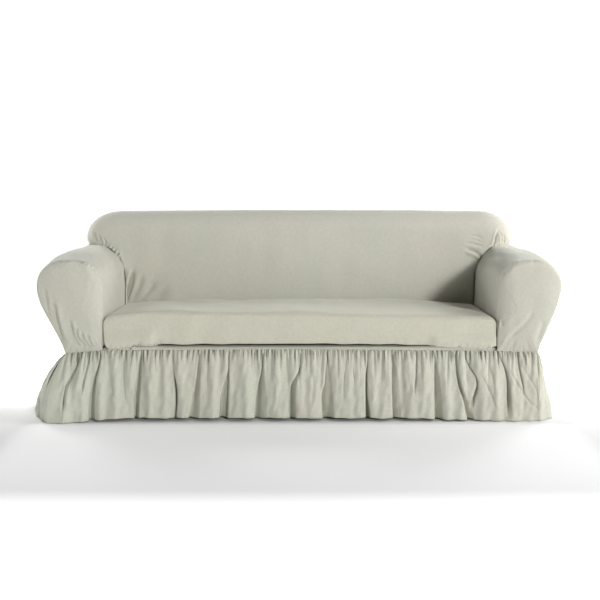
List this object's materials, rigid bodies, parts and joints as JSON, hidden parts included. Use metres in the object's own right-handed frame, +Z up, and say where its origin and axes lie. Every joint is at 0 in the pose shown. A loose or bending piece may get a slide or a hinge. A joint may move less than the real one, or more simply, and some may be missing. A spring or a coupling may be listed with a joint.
{
  "type": "sofa slipcover",
  "caption": "Fitted cotton slipcover for a roll-arm sofa, with a gathered skirt to the floor and a separate bench-seat cushion cover.",
  "frame": {"origin": "on the floor, under the middle of the cover's bounding box", "axes": "+Z up, +X along the sofa to the right arm as seen from the front, the seat faces -Y"},
  "size_m": [2.2216, 1.0748, 0.8484],
  "materials": {
    "body_cloth": "brushed twill, matte",
    "seat_cover_cloth": "brushed twill, matte",
    "skirt_cloth": "brushed twill, matte"
  },
  "bodies": {
    "root": {"inside_back": "body_cloth", "outside_back": "body_cloth", "inside_arm_left": "body_cloth", "inside_arm_right": "body_cloth", "outside_arm_left": "body_cloth", "outside_arm_right": "body_cloth", "arm_front_left": "body_cloth", "arm_front_right": "body_cloth", "seat_deck": "body_cloth", "seat_cover_top": "seat_cover_cloth", "seat_cover_boxing": "seat_cover_cloth", "skirt_front": "skirt_cloth", "skirt_right": "skirt_cloth", "skirt_back": "skirt_cloth", "skirt_left": "skirt_cloth"}
  },
  "joints": []
}
